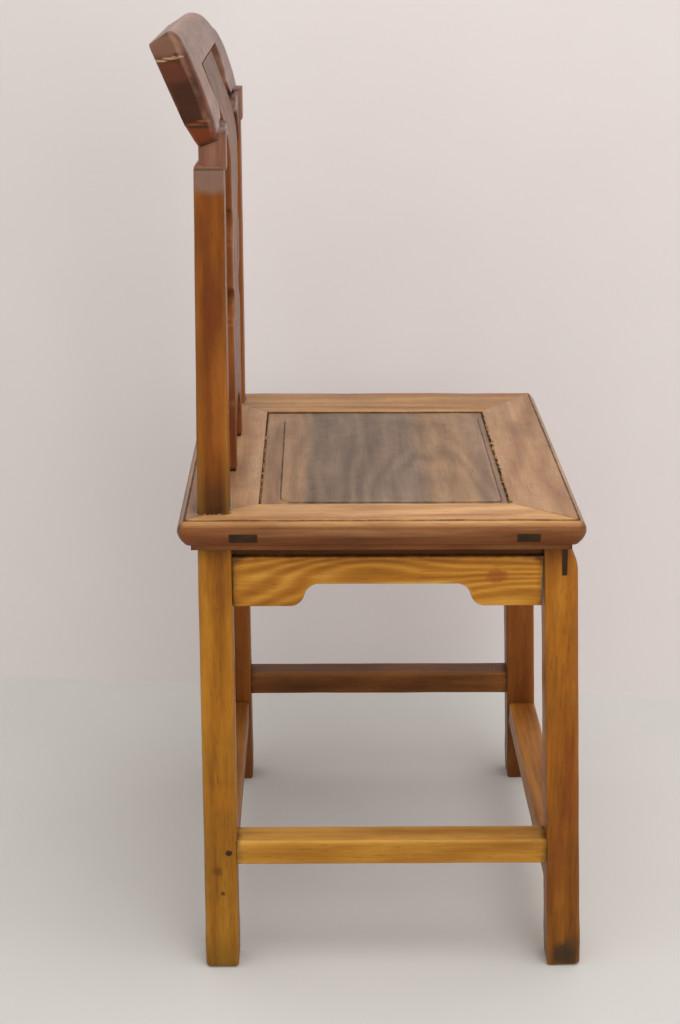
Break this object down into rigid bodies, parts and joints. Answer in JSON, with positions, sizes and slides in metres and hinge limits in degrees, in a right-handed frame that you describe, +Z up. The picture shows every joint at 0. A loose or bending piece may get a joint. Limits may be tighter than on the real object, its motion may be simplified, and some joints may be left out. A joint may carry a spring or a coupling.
{
  "type": "wooden side chair",
  "caption": "Old wooden side chair: framed panel seat on a recessed waist, shaped aprons, leaning square legs with stretchers, shaped splat and a tilted crest rail with dropped ends.",
  "frame": {"origin": "on the floor, under the middle of the chair's box", "axes": "+Z up, -Y to the chair's front, -X to the sitter's right"},
  "size_m": [0.47, 0.4186, 0.9379],
  "materials": {
    "leg_wood": "old, worn and waxed",
    "rail_wood": "old, worn and waxed",
    "panel_wood": "old, worn and waxed",
    "waist_wood": "old, worn and waxed",
    "apron_wood": "old, worn and waxed",
    "stretcher_wood": "old, worn and waxed",
    "peg_wood": "old, worn and waxed",
    "crest_wood": "old, worn and waxed",
    "splat_wood": "old, worn and waxed"
  },
  "bodies": {
    "root": {"rear_leg_right": "leg_wood", "rear_leg_left": "leg_wood", "front_leg_right": "leg_wood", "front_leg_left": "leg_wood", "seat_rail_front": "rail_wood", "seat_rail_rear": "rail_wood", "seat_rail_right": "rail_wood", "seat_rail_left": "rail_wood", "seat_panel": "panel_wood", "seat_batten": "panel_wood", "waist_front": "waist_wood", "waist_rear": "waist_wood", "waist_right": "waist_wood", "waist_left": "waist_wood", "apron_front": "apron_wood", "apron_rear": "apron_wood", "apron_right": "apron_wood", "apron_left": "apron_wood", "stretcher_front": "stretcher_wood", "stretcher_rear": "stretcher_wood", "stretcher_right": "stretcher_wood", "stretcher_left": "stretcher_wood", "stretcher_pegs": "peg_wood", "crest_rail": "crest_wood", "neck_bracket_right": "crest_wood", "neck_bracket_left": "crest_wood", "splat": "splat_wood"}
  },
  "joints": []
}
